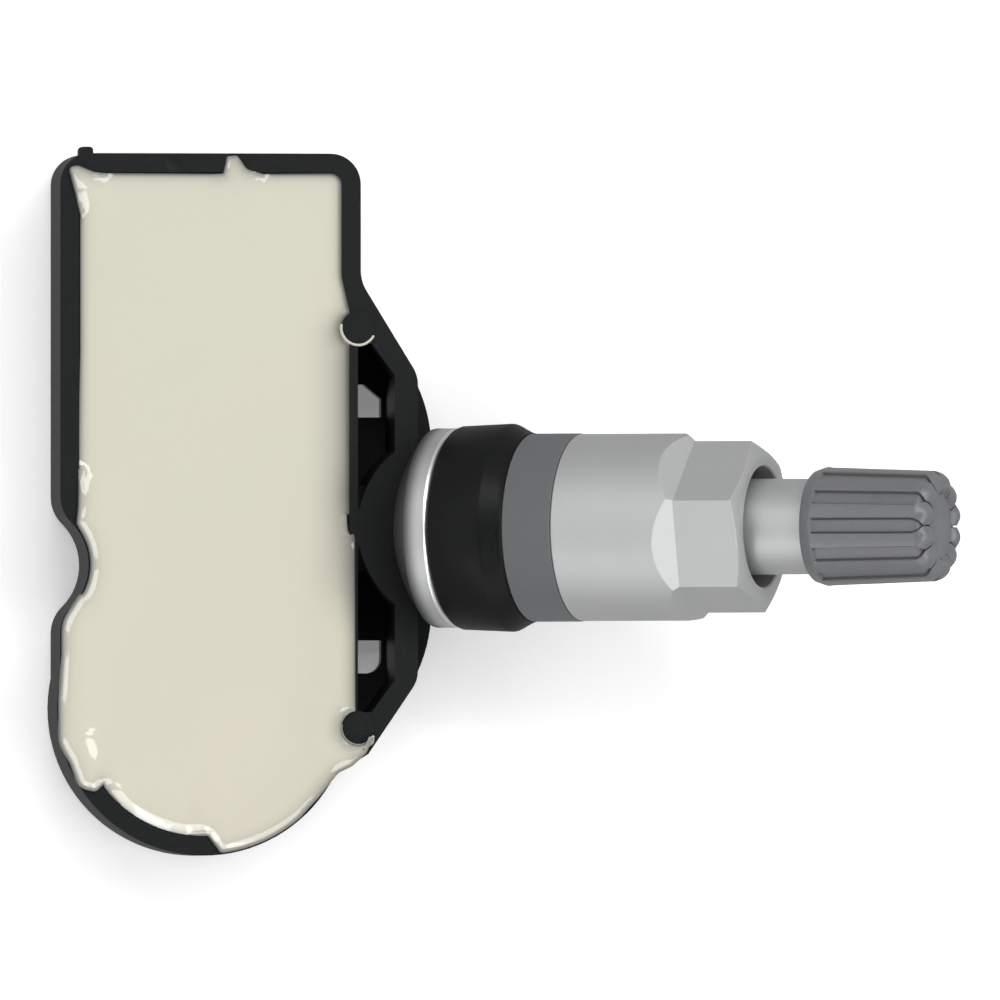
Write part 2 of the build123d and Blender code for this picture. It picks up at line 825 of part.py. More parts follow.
def spill_outline():
    """Where the resin has run over the wall, as seen from above."""
    left_run = plate(tray_left_x - 2, lobe_x, spill_bottom, spill_top)
    low_run = Location((spill_x, spill_y, 0), (0, 0, spill_angle)) * Rectangle(spill_length, spill_length / 2)
    tongue_low_y = tray_top_y - 2 * wall_thick
    tongue = plate(tongue_x - tongue_width / 2, tongue_x + tongue_width / 2, tongue_low_y, tray_top_y)
    edge = offset(body_outline(), -spill_margin, kind=Kind.ARC)
    beside_wall = edge - offset(pocket_outline(), -spill_reach, kind=Kind.ARC) - cavity_outline()
    return (left_run + low_run + tongue) & beside_wall


def make_resin(housing, inner_pieces):
    body = Pos(0, 0, floor_thick) * extrude(pocket_outline(), resin_level - floor_thick)
    run_low = resin_level - wall_thick
    body += Pos(0, 0, run_low) * extrude(spill_outline(), top_z + resin_film - run_low)
    body -= housing
    for piece in inner_pieces:
        body -= piece
    return body.solids().sort_by(SortBy.VOLUME)[-1]


pieces = {
    "housing": make_housing(),
    "circuit_board": make_board(),
    "coin_cell": make_cell(),
    "cell_tab_positive": make_tab_positive(),
    "cell_tab_negative": make_tab_negative(),
    "sensor_chip": make_chip(),
    "port_seal": make_port_seal(),
    "port_membrane": make_membrane(),
    "lf_coil_core": make_coil_core(),
    "lf_coil_winding": make_coil_winding(),
    "crystal": make_crystal(),
    "chip_capacitors": make_capacitors(),
    "antenna_loop": make_antenna(),
    "valve_stem": make_stem(),
    "stem_screw": make_screw(),
    "rubber_gasket": make_gasket(),
    "thrust_washer": make_washer(),
    "collar_nut": make_nut(),
    "core_barrel": make_core_barrel(),
    "core_packing": make_core_packing(),
    "core_pin": make_core_pin(),
    "core_seal": make_core_seal(),
    "core_spring": make_core_spring(),
    "valve_cap": make_cap(),
    "cap_seal": make_cap_seal(),
}
buried = ["circuit_board", "coin_cell", "cell_tab_positive", "cell_tab_negative", "sensor_chip", "port_seal",
          "lf_coil_core", "lf_coil_winding", "crystal", "chip_capacitors", "antenna_loop"]
pieces["potting_compound"] = make_resin(pieces["housing"], [pieces[name] for name in buried])

for name, shape in pieces.items():
    export_step(shape, f"parts/{name}.step")
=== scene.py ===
import json
import math

import bmesh
import bpy
from mathutils import Matrix, Vector
from mathutils.bvhtree import BVHTree
from mathutils.kdtree import KDTree


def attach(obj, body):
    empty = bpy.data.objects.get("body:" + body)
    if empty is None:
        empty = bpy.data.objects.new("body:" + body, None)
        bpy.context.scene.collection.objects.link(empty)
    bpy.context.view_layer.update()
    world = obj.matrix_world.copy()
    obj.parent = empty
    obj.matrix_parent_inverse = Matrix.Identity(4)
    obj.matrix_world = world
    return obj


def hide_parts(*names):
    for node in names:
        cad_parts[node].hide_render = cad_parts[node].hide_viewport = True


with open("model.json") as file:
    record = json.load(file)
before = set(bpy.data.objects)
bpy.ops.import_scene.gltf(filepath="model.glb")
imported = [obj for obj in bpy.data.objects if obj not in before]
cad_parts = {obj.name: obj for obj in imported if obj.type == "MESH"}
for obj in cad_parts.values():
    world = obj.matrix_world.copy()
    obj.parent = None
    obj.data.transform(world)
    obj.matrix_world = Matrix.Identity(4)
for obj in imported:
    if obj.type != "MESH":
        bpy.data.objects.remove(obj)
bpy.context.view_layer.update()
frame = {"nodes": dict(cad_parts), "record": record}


# The housing is one injection moulding in black glass-filled nylon: a tray for the electronics and, beside
# it, a bracket with a ball socket for the valve. Two round posts and an open cavity stand between them.
# Its edges keep a fine rounding from the mould, and its walls a fine grain.
mm = 0.001
weld = 0.002 * mm
flat_angle = math.radians(0.6)
crease_angle = math.radians(38)
sharp_angle = math.radians(35)
mould_edge = 0.11 * mm
mould_grain = 5200.0            # waves of the moulded grain to the metre, and its height
grain_relief = 0.02 * mm
housing_black = (0.0065, 0.007, 0.007, 1)
housing_worn = (0.013, 0.014, 0.0145, 1)
dull = 0.13                     # how much black plastic and rubber mirror, against a polished surface's 0.5


class Wire:
    """An output of a node. Python's operators on it add the Math nodes of the same sum."""

    def __init__(self, finish, socket):
        self.finish = finish
        self.socket = socket

    def math(self, operation, *values):
        inputs = dict(enumerate(values))
        return self.finish.node("Math", {"operation": operation}, inputs)

    def __add__(self, other):
        return self.math("ADD", self, other)

    def __radd__(self, other):
        return self.math("ADD", other, self)

    def __sub__(self, other):
        return self.math("SUBTRACT", self, other)

    def __rsub__(self, other):
        return self.math("SUBTRACT", other, self)

    def __mul__(self, other):
        return self.math("MULTIPLY", self, other)

    def __rmul__(self, other):
        return self.math("MULTIPLY", other, self)

    def split(self):
        """The three parts of a vector, by name."""
        parts = self.finish.node("SeparateXYZ", None, {"Vector": self})
        return {name: Wire(self.finish, parts.socket.node.outputs[name]) for name in "XYZ"}


class Finish:
    """A surface finish: a material whose nodes are added one by one and end in its shader."""

    def __init__(self, name, library=bpy.data.materials):
        self.owner = library.new(name)
        self.owner.use_nodes = True
        self.tree = self.owner.node_tree
        self.tree.nodes.clear()

    def node(self, kind, settings=None, inputs=None, output=0):
        """Add a node. Its settings come first, then the values or links of its sockets."""
        made = self.tree.nodes.new("ShaderNode" + kind)
        for key, value in (settings or {}).items():
            if key == "stops":
                ramp = made.color_ramp
                while len(ramp.elements) < len(value):
                    ramp.elements.new(1.0)
                for element, (place, colour) in zip(ramp.elements, value):
                    element.position = place
                    element.color = colour
            else:
                setattr(made, key, value)
        for key, value in (inputs or {}).items():
            if isinstance(value, Wire):
                self.tree.links.new(value.socket, made.inputs[key])
            else:
                made.inputs[key].default_value = value
        return None if output is None else Wire(self, made.outputs[output])

    def place(self):
        """Object coordinates, in metres in the sensor's own frame."""
        return self.node("TexCoord", output=3)

    def noise(self, scale, detail=2.0):
        """Noise from 0 to 1 at so many waves to the metre."""
        return self.node("TexNoise", None, {"Vector": self.place(), "Scale": scale, "Detail": detail})

    def mix(self, factor, first, second):
        """Colour between two colours."""
        return self.node("Mix", {"data_type": "RGBA"}, {0: factor, 6: first, 7: second}, output=2)

    def bump(self, height, distance, strength):
        """A normal from a height of 0 to 1, over a distance in metres."""
        return self.node("Bump", None, {"Height": height, "Distance": distance, "Strength": strength})

    def shade(self, inputs):
        """End in one Principled shader with these values and links."""
        self.end(self.node("BsdfPrincipled", None, inputs))
        return self.owner

    def end(self, shader):
        """Link a shader to the output of the material or the world."""
        kind = "OutputWorld" if self.owner.id_type == "WORLD" else "OutputMaterial"
        self.node(kind, None, {"Surface": shader}, output=None)


def moulded_plastic(name, base, worn, grain, roughness, mirror=0.45):
    """Moulded plastic: cloudy in tone, with a fine grain in gloss and relief."""
    finish = Finish(name)
    cloud = finish.noise(grain / 18, 3.0)
    fine = finish.noise(grain, 3.0)
    return finish.shade({
        "Base Color": finish.mix(cloud * 0.35 + fine * 0.65, base, worn),
        "Roughness": roughness + (fine - 0.5) * 0.22,
        "Normal": finish.bump(fine, grain_relief, 0.5),
        "Specular IOR Level": mirror,
    })


def node_copy(node):
    """The mesh of a CAD node, its loose triangles welded and its flat faces whole."""
    bm = bmesh.new()
    bm.from_mesh(frame["nodes"][node].data)
    bmesh.ops.remove_doubles(bm, verts=bm.verts, dist=weld)
    bmesh.ops.dissolve_limit(bm, angle_limit=flat_angle, verts=bm.verts, edges=bm.edges)
    return bm


def soften(bm, width, angle=crease_angle):
    """Round every edge that is sharper than an angle."""
    edges = [e for e in bm.edges if e.is_manifold and e.calc_face_angle() > angle]
    bmesh.ops.bevel(bm, geom=edges, offset=width, affect="EDGES", segments=2, profile=0.5,
                    material=-1, clamp_overlap=True)


def hand_over(name, bm, material, body, slot, *nodes):
    """Make a mesh an object of the sensor that stands for the named CAD nodes."""
    mesh = bpy.data.meshes.new(name)
    bm.to_mesh(mesh)
    bm.free()
    mesh.materials.append(material)
    mesh.shade_smooth()
    mesh.set_sharp_from_angle(angle=sharp_angle)
    piece = bpy.data.objects.new(name, mesh)
    bpy.context.scene.collection.objects.link(piece)
    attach(piece, body)
    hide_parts(*nodes)
    return piece


def shade_evenly(piece):
    """Let the large faces lead the shading, so that they look flat up to their rounded edges."""
    even = piece.modifiers.new("even_faces", "WEIGHTED_NORMAL")
    even.keep_sharp = True


black_plastic = moulded_plastic("black_plastic", housing_black, housing_worn, mould_grain, 0.44, dull)
housing_mesh = node_copy("housing")
soften(housing_mesh, mould_edge)
housing_top = BVHTree.FromBMesh(housing_mesh)
housing = hand_over("moulded_housing", housing_mesh, black_plastic, "sensor", "housing_plastic", "housing")
shade_evenly(housing)


# The electronics lie upside down in the tray and are buried in resin: a circuit board with its chip, coil,
# crystal and capacitors, a lithium cell held by two welded tabs, and a strip aerial. A silicone tube leads
# from the chip to the port in the back, which a small membrane closes.
board_green = (0.02, 0.13, 0.06, 1)
board_dark = (0.012, 0.085, 0.04, 1)
can_steel = (0.62, 0.62, 0.60, 1)
tab_nickel = (0.66, 0.62, 0.55, 1)
chip_black = (0.012, 0.012, 0.013, 1)
silicone_clear = (0.55, 0.56, 0.56, 1)
ferrite_grey = (0.035, 0.033, 0.034, 1)
wire_copper = (0.72, 0.30, 0.14, 1)
ceramic_tan = (0.42, 0.30, 0.20, 1)
membrane_white = (0.72, 0.72, 0.70, 1)


def rolled_metal(name, colour, roughness, scale=3000.0):
    """Plain metal with a faint unevenness in gloss."""
    finish = Finish(name)
    fine = finish.noise(scale, 4.0)
    tarnished = tuple(0.82 * c for c in colour[:3]) + (1,)
    return finish.shade({
        "Base Color": finish.mix(fine, tarnished, colour),
        "Metallic": 1.0,
        "Roughness": roughness + (fine - 0.5) * 0.12,
        "Normal": finish.bump(fine, 0.008 * mm, 0.4),
    })


def dress(material, *nodes):
    """Give CAD nodes that keep their own shape a finish."""
    for name in nodes:
        mesh = frame["nodes"][name].data
        mesh.materials.clear()
        mesh.materials.append(material)


dress(moulded_plastic("board_mask", board_dark, board_green, 2600.0, 0.38), "circuit_board")
dress(rolled_metal("cell_can", can_steel, 0.30), "coin_cell")
nickel_strip = rolled_metal("nickel_strip", tab_nickel, 0.34)
dress(nickel_strip, "cell_tab_positive", "cell_tab_negative", "antenna_loop", "crystal")
dress(moulded_plastic("chip_black", chip_black, housing_worn, 4000.0, 0.5), "sensor_chip")
dress(moulded_plastic("silicone", silicone_clear, membrane_white, 1500.0, 0.42), "port_seal")
dress(moulded_plastic("ferrite", ferrite_grey, chip_black, 3500.0, 0.6), "lf_coil_core")
dress(rolled_metal("copper_wire", wire_copper, 0.32, 9000.0), "lf_coil_winding")
dress(moulded_plastic("ceramic", ceramic_tan, silicone_clear, 5000.0, 0.45), "chip_capacitors")
dress(moulded_plastic("membrane", silicone_clear, membrane_white, 9000.0, 0.75), "port_membrane")


# The potting compound is cream epoxy, poured to just under the wall's top. It creeps up the walls and the
# posts, and on the left, at the lower end and in a tongue at the top it has run over the wall and set there
# with a bulging, glossy edge.
pour_level = 8.55               # height of the flat resin, in mm
pour_floor = 8.3                # height of the underside of what is modelled
wall_top = 9.0
wall_spread = 0.5               # a face this far under the wall's top, or less, counts as its top
bank_slope = math.tan(math.radians(19.5))
bank_soft = 0.14                # in how many mm that slope runs out at its foot
creep_reach = 1.1               # how far from the lower wall the resin starts to climb it
creep = 0.12                    # how far it climbs the other walls, and within what distance
creep_width = 0.4
film_thick = 0.05               # how thick a run is at least on the wall
run_reach = 1.0                 # how far in from its edge a run is banked up
run_edge = 0.05                 # distance in which its rounded edge rises
run_brim = 0.7                  # width of a run that lies on the wall, and how deep its underside reaches in
run_seat = 0.03
run_width = 1.3                 # how far in a run starts to sink, and the distance in which it does
run_sink = 2.0
steep_place = Vector((-23.6, -18.0))    # where a run sinks faster, how much, and how far round
steep_gain = 0.85
steep_radius = 1.0
steep_fade = 2.5
post_creep = 0.3                # how far the resin climbs a post, and how steeply
post_reach = 0.14
bead_start = math.radians(168)          # each post has a bead of resin round part of it
bead_sweep = math.radians(165)
bead_steps = 40
post_bead = ((-0.05, 8.9), (0.15, 8.9), (0.15, 8.98), (0.1, 9.04), (0.04, 9.1), (-0.05, 9.12))
lobe = Vector((-16.0, -14.2))
lobe_outer = 11.5
lobe_inner = 10.06
neck = Vector((-29.7, -2.9))
neck_outer = 4.72
high_post = Vector((-3.8, 15.75))
low_post = Vector((-3.8, -15.75))
post_radius = 1.32
post_gap = 0.02                 # the resin's edge keeps clear of a post by this
wall_reach = 0.3                # the resin passes over a wall that is nearer than this
wall_share = 0.35               # where it runs over the wall, or is this far inside its edge
wall_inset = 0.4
edge_pitch = 0.22               # pitch of the points on the resin's edge, and of the slices across it
slice_pitch = 0.36
edge_insets = (0.05, 0.07, 0.1, 0.14)   # steps in from the edge
edge_blur = 5                   # points to each side over which a run begins and ends
resin_cream = (0.51, 0.503, 0.42, 1)
resin_warm = (0.545, 0.508, 0.418, 1)
resin_edge_shade = (0.07, 0.075, 0.08, 1)
shade_reach = 0.26              # how far a wall's dark shows in the resin, in mm: partly through thin resin, partly painted shade
run_shade = 0.15                # how much further in a run
side_reach = 0.85               # and beside the cavity, whose place and spread follow
side_start = -9.5
side_width = 3.0
side_middle = 5.0
side_half = 8.0
side_fade = 6.0
warm_from = 28 * mm             # the resin is palest at its upper end and warmest at its lower
warm_to = -26 * mm


def arc(centre, radius, start, end):
    """Points on a circle, from one angle to another in degrees."""
    count = max(2, int(abs(end - start) / 4))
    turns = [math.radians(start + (end - start) * k / count) for k in range(count + 1)]
    return [centre + radius * Vector((math.cos(a), math.sin(a))) for a in turns]


def rounded(corners):
    """An open line through corners, each x, y and the radius that it is rounded by."""
    line = [Vector(corners[0][:2])]
    for (x0, y0, _), (x, y, radius), (x1, y1, _) in zip(corners, corners[1:], corners[2:]):
        here = Vector((x, y))
        back = (Vector((x0, y0)) - here).normalized()
        ahead = (Vector((x1, y1)) - here).normalized()
        half = back.angle(ahead) / 2
        cut = radius / math.tan(half)
        middle = here + (back + ahead).normalized() * radius / math.sin(half)
        first = here + back * cut - middle
        last = here + ahead * cut - middle
        turn = first.angle_signed(last, 0)
        count = max(2, int(abs(turn) / 0.18))
        for k in range(count + 1):
            line.append(middle + Matrix.Rotation(-turn * k / count, 2) @ first)
    return line + [Vector(corners[-1][:2])]


def evenly(line, pitch):
    """The same closed line with its points at an even pitch."""
    closed = line + line[:1]
    points = []
    carry = 0.0
    for a, b in zip(closed, closed[1:]):
        length = (b - a).length
        while carry < length:
            points.append(a.lerp(b, carry / length))
            carry += pitch
        carry -= length
    return points


top_edge = rounded([
    (-26.45, 27.2, 0), (-26.75, 28.4, 0.35), (-25.95, 28.5, 0.5), (-24.5, 27.9, 1.6), (-14.45, 27.85, 0.15),
    (-14.25, 29.25, 0.25), (-13.35, 29.3, 0.3), (-12.6, 28.2, 0.8), (-11.4, 27.85, 0.8), (-5.05, 27.9, 0.9),
    (-5.05, 19.8, 4.0), (-4.4, 17.0, 0),
]) + arc(high_post, post_radius + post_gap, 118, 243)
side_edge = rounded([
    (-4.42, 14.5, 0), (-4.4, 5.2, 4.0), (-4.5, 2.5, 4.0), (-4.05, -1.2, 4.0), (-4.02, -14.5, 0),
]) + arc(low_post, post_radius + post_gap, 108, 325)
lower_run = rounded([
    (-2.75, -16.7, 0), (-3.1, -17.7, 1.0), (-4.3, -18.78, 1.0), (-5.4, -19.3, 0.8), (-6.9, -21.2, 1.6),
    (-8.3, -22.84, 0),
])[:-1]
lower_run += arc(lobe, lobe_outer, -48.4, -82)
lower_run += rounded([(-14.4, -25.6, 0), (-14.75, -25.55, 0.2), (-15.75, -24.2, 0)])
bare_arc = arc(lobe, lobe_inner, -89.5, -142.5)
left_run = rounded([
    (-23.95, -20.25, 0), (-24.55, -20.85, 0.5), (-25.9, -20.5, 1.2), (-26.6, -18.6, 2.0), (-27.5, -17.0, 2.0),
    (-27.52, -13.5, 4.0), (-27.27, -10.0, 3.0), (-27.27, -7.4, 2.6), (-25.9, -5.3, 0),
]) + arc(neck, neck_outer, -29, 31)
left_wall = rounded([
    (-26.1, 0.3, 0), (-25.98, 1.6, 0.5), (-25.75, 14.0, 9.0), (-25.75, 24.6, 2.0), (-26.45, 27.2, 0),
])[:-1]
outline = evenly(top_edge + side_edge + lower_run + bare_arc + left_run + left_wall, edge_pitch)


def lies_on_wall(point):
    """Whether the resin's edge lies on top of the wall there, and not against its inner side."""
    left = point.x < -23.6 and -21.5 < point.y < 4.2
    low = point.x > -15.9 and point.y < -16.3
    side = point.x > -5.3 and -17.5 < point.y < -1.0
    corner = point.x < -24.3 and point.y > 25.2
    tongue = -14.6 < point.x < -11.8 and point.y > 28.0
    return left or low or side or corner or tongue


def blurred(flags):
    """The share of true flags round each point of the outline."""
    around = range(-edge_blur, edge_blur + 1)
    return [sum(flags[(i + j) % len(flags)] for j in around) / len(around) for i in range(len(flags))]


run_share = blurred([lies_on_wall(p) for p in outline])
bank_share = blurred([lies_on_wall(p) or (p.x < -14.0 and p.y < -19.5) for p in outline])
rim = KDTree(len(outline))
for i, point in enumerate(outline):
    rim.insert(point.to_3d(), i)
rim.balance()


def settled(x):
    """Smooth step from 0 to 1."""
    x = min(1.0, max(0.0, x))
    return x * x * (3 - 2 * x)


def rim_near(point):
    """Distance of a point from the resin's outline, and the shares of run and of bank there."""
    near = rim.find_n(point.to_3d(), 5)
    weights = [1 / (distance + 0.05) ** 2 for _, _, distance in near]
    shares = []
    for share in (run_share, bank_share):
        shares.append(sum(w * share[i] for w, (_, i, _) in zip(weights, near)) / sum(weights))
    return near[0][2], *shares


def wall_under(point):
    """Height of the housing under a point, in mm, or 0 where it lies deep."""
    start = Vector((point.x * mm, point.y * mm, (wall_top + 1) * mm))
    hit = housing_top.ray_cast(start, Vector((0, 0, -1)), (1 + wall_spread) * mm)[0]
    return hit.z / mm if hit else 0.0


def bank(distance, reach):
    """Height of resin that falls at one slope from its edge and runs out softly."""
    return bank_slope * bank_soft * math.log1p(math.exp((reach - distance) / bank_soft))


def resin_height(point, distance, run, banked):
    """Height of the surface at a point, from its distance to the edge and the edge's two shares."""
    against = pour_level + creep * math.exp(-distance / creep_width)
    against += (pour_level + bank(distance, creep_reach) - against) * banked
    film = wall_top + film_thick + bank(distance, run_reach) * (1 - math.exp(-distance / run_edge))
    steep = 1 - settled(((point - steep_place).length - steep_radius) / steep_fade)
    sink = (distance - run_width) / (run_sink - steep * steep_gain)
    over = pour_level + (film - pour_level) * math.exp(-max(0.0, sink) ** 2)
    height = against + (over - against) * run
    if run > wall_share or distance > wall_inset:
        spots = [point + Vector(s) * wall_reach for s in ((0, 0), (1, 0), (-1, 0), (0, 1), (0, -1))]
        wall = max(wall_under(spot) for spot in spots)
        if wall_top - wall_spread < wall < wall_top + 0.1:
            height = max(height, wall + film_thick)
    gap = min((point - high_post).length, (point - low_post).length) - post_radius
    return height + post_creep * math.exp(-max(gap, 0.0) / post_reach)


def resin_surface():
    """The poured surface: the outline filled, stepped in at its edge and sliced fine."""
    along_x = Vector((1, 0, 0))
    along_y = Vector((0, 1, 0))
    bm = bmesh.new()
    face = bm.faces.new([bm.verts.new((p.x, p.y, 0)) for p in outline])
    face.normal_update()
    if face.normal.z < 0:
        face.normal_flip()
    for step in edge_insets:
        bmesh.ops.inset_region(bm, faces=[face], thickness=step, use_even_offset=False, use_boundary=True)
    spans = [[v.co.dot(direction) for v in face.verts] for direction in (along_x, along_y)]
    inner = [face]
    for span, direction in zip(spans, (along_x, along_y)):
        low = min(span)
        length = max(span) - low
        count = int(length / slice_pitch)
        for k in range(1, count):
            at = direction * (low + length * k / count)
            edges = list({e for f in inner for e in f.edges})
            corners = list({v for f in inner for v in f.verts})
            cut = bmesh.ops.bisect_plane(bm, geom=inner + edges + corners, dist=1e-5, plane_co=at,
                                         plane_no=direction)
            inner = [g for g in cut["geom"] if isinstance(g, bmesh.types.BMFace)]
    return bm


def raise_resin(bm):
    """Set every point of the surface to its height, and note how the wall beside it darkens it: partly its
    black seen through thin resin, partly painted shade.
    """
    edge_shade_layer = bm.verts.layers.float.new("edge")
    for v in bm.verts:
        distance, run, banked = rim_near(v.co.xy)
        if v.is_boundary:
            distance = 0.0
        beside = settled((v.co.x - side_start) / side_width)
        beside *= 1 - settled((abs(v.co.y - side_middle) - side_half) / side_fade)
        v[edge_shade_layer] = math.exp(-distance / (shade_reach + run * run_shade + beside * side_reach))
        v.co.z = resin_height(v.co.xy, distance, run, banked)


resin_mesh = resin_surface()
raise_resin(resin_mesh)
skin = bmesh.ops.extrude_face_region(resin_mesh, geom=resin_mesh.faces[:])
for v in [g for g in skin["geom"] if isinstance(g, bmesh.types.BMVert)]:
    distance, run, banked = rim_near(v.co.xy)
    v.co.z = wall_top - run_seat if run > 0.5 and distance < run_brim else pour_floor
for post in (high_post, low_post):
    ring = []
    for out, z in post_bead:
        place = post + Matrix.Rotation(bead_start, 2) @ Vector((post_radius + out, 0))
        ring.append(resin_mesh.verts.new((place.x, place.y, z)))
    bmesh.ops.spin(resin_mesh, geom=[resin_mesh.faces.new(ring)], cent=post.to_3d(), axis=(0, 0, 1),
                   angle=bead_sweep, steps=bead_steps)
bmesh.ops.recalc_face_normals(resin_mesh, faces=resin_mesh.faces)
bmesh.ops.scale(resin_mesh, vec=(mm, mm, mm), verts=resin_mesh.verts)


def cast_resin():
    """Glossy cream resin, warmer towards the lower end, and darker at its edge: partly the black wall seen
    through thin resin, partly painted shade.
    """
    finish = Finish("cream_resin")
    along = finish.place().split()["Y"]
    cloud = finish.noise(55.0)
    ripple = finish.noise(160.0, 1.0)
    warm = finish.node("MapRange", None, {"Value": along, "From Min": warm_from, "From Max": warm_to})
    edge = finish.node("Attribute", {"attribute_name": "edge"}, output=2)
    body = finish.mix(warm * 0.7 + (cloud - 0.5) * 0.8, resin_cream, resin_warm)
    return finish.shade({
        # painted shade by the walls, partly the black wall seen through thin resin
        "Base Color": finish.mix(edge * 0.92, body, resin_edge_shade),
        "Roughness": 0.035 + cloud * 0.03,
        "Normal": finish.bump(ripple, 0.02 * mm, 0.3),
        "Specular IOR Level": 0.5,
    })


hand_over("poured_resin", resin_mesh, cast_resin(), "sensor", "resin", "potting_compound")


# The valve stem is turned from aluminium and clear anodised to a satin grey. Its domed foot turns in the
# housing's socket, its flange backs the gasket, and it carries one thread for the nut and one for the cap.
# A hollow steel screw with a six-lobe recess holds the foot from the back.
rim_hole = next(m for m in frame["record"]["mounts"] if m["name"] == "rim_hole")
valve_axis = Vector(rim_hole["axis"])
pole = Vector(rim_hole["pos_m"]) - valve_axis * (rim_hole["pos_m"][0] / valve_axis.x)
valve_frame = Matrix.Translation(pole) @ Matrix.Rotation(math.atan2(valve_axis.x, valve_axis.z), 4, "Y")
turn_steps = 128
thread_steps = 48
dome_radius = 12.0              # in mm, as are the stations along the axis from the dome's pole
foot_radius = 7.85
flange_end = 4.95
flange_chamfer = 0.35
shade_start = 2.8               # the socket's shade on the foot fades out between these stations
shade_end = 4.2
nut_thread_radius = 5.0
nut_thread_start = 13.4
nut_thread_end = 25.0
nut_thread_depth = 0.45
nut_pitch = 1.0
cap_thread_radius = 3.76
cap_thread_start = 35.6
cap_thread_depth = 0.38
cap_pitch = 0.79375
thread_root = 0.48              # half widths of a ridge at its root and crest, as shares of the pitch
thread_crest = 0.06
thread_bury = 0.1               # how deep a ridge is sunk in the stem
stem_end = 42.4
air_bore = 1.3
air_bore_start = 6.4
screw_bore = 1.75
screw_bore_end = 6.0
core_bore = 1.9
core_bore_start = 23.1
core_head_bore = 2.6
core_head_start = 36.2
stem_edge = 0.06
aluminium = (0.50, 0.505, 0.507, 1)
aluminium_dark = (0.43, 0.435, 0.44, 1)
anodised = 0.72                 # how metallic it looks under its oxide
foot_shade = (0.05, 0.052, 0.054, 1)
cut_bright = (0.95, 0.95, 0.95, 1)
screw_steel = (0.50, 0.50, 0.51, 1)


def blasted(finish):
    """Tone, sparkle and relief of blasted and anodised metal: even and fine, with slight clouds."""
    cloud = finish.noise(240.0)
    fine = finish.noise(7000.0)
    tone = finish.mix(cloud * 0.5 + fine * 0.5, aluminium_dark, aluminium)
    return tone, (fine - 0.5) * 0.1, finish.bump(fine, 0.012 * mm, 0.35)


def turned_stem_metal():
    """Anodised metal with painted shade towards the foot, where the black socket shades it, and a bright cut
    edge on the flange.
    """
    finish = Finish("stem_aluminium")
    tone, sparkle, relief = blasted(finish)
    along = finish.node("VectorMath", {"operation": "DOT_PRODUCT"}, {0: finish.place(), 1: valve_axis},
                        output=1)
    station = (along - pole.dot(valve_axis)) * 1000
    past_start = station.math("GREATER_THAN", station, flange_end - flange_chamfer - 0.01)
    cut = past_start * station.math("LESS_THAN", station, flange_end + 0.01)
    # painted shade of the socket on the foot, fading out along the axis
    foot = finish.node("MapRange", {"interpolation_type": "SMOOTHSTEP"},
                       {"Value": station, "From Min": shade_start, "From Max": shade_end})
    body = finish.mix(foot, foot_shade, tone)
    return finish.shade({
        "Base Color": finish.mix(cut, body, cut_bright),
        "Metallic": anodised + cut * (1 - anodised),
        "Roughness": 0.5 - cut * 0.16 + sparkle,
        "Normal": relief,
    })


def turned(section, rounding=0.0):
    """Spin a closed half section, given as radius and station in mm, round the valve axis."""
    bm = bmesh.new()
    points = [bm.verts.new((r * mm, 0, t * mm)) for r, t in section]
    lines = [bm.edges.new(pair) for pair in zip(points, points[1:] + points[:1])]
    bmesh.ops.spin(bm, geom=points + lines, cent=(0, 0, 0), axis=(0, 0, 1), angle=2 * math.pi,
                   steps=turn_steps, use_merge=True)
    bmesh.ops.remove_doubles(bm, verts=bm.verts, dist=weld)
    bmesh.ops.recalc_face_normals(bm, faces=bm.faces)
    if rounding:
        soften(bm, rounding * mm, math.radians(20))
    return bm


def onto_valve(bm):
    """Stand a mesh that was made along Z on the valve's axis."""
    bmesh.ops.transform(bm, matrix=valve_frame, verts=bm.verts)
    return bm


def join(bm, other):
    """Add another mesh to this one."""
    held = bpy.data.meshes.new("held")
    other.to_mesh(held)
    other.free()
    bm.from_mesh(held)
    bpy.data.meshes.remove(held)


def thread(radius, start, end, pitch, depth):
    """A helical ridge whose crest lies at a radius, with its ends run out."""
    bm = bmesh.new()
    count = int((end - start) / pitch * thread_steps)
    root = radius - depth - thread_bury
    rings = []
    for k in range(count + 1):
        turn = 2 * math.pi * k / thread_steps
        rise = start + pitch * k / thread_steps
        run_out = min(1.0, k / thread_steps * 2, (count - k) / thread_steps * 2)
        crest = radius - depth * (1 - run_out)
        ridge = ((root, -thread_root), (crest, -thread_crest), (crest, thread_crest), (root, thread_root))
        ring = []
        for r, share in ridge:
            t = rise + pitch * share
            ring.append(bm.verts.new((r * math.cos(turn) * mm, r * math.sin(turn) * mm, t * mm)))
        rings.append(ring)
    for a, b in zip(rings, rings[1:]):
        for i in range(4):
            j = (i + 1) % 4
            bm.faces.new((a[i], a[j], b[j], b[i]))
    bm.faces.new(rings[0])
    bm.faces.new(rings[-1])
    bmesh.ops.recalc_face_normals(bm, faces=bm.faces)
    return bm


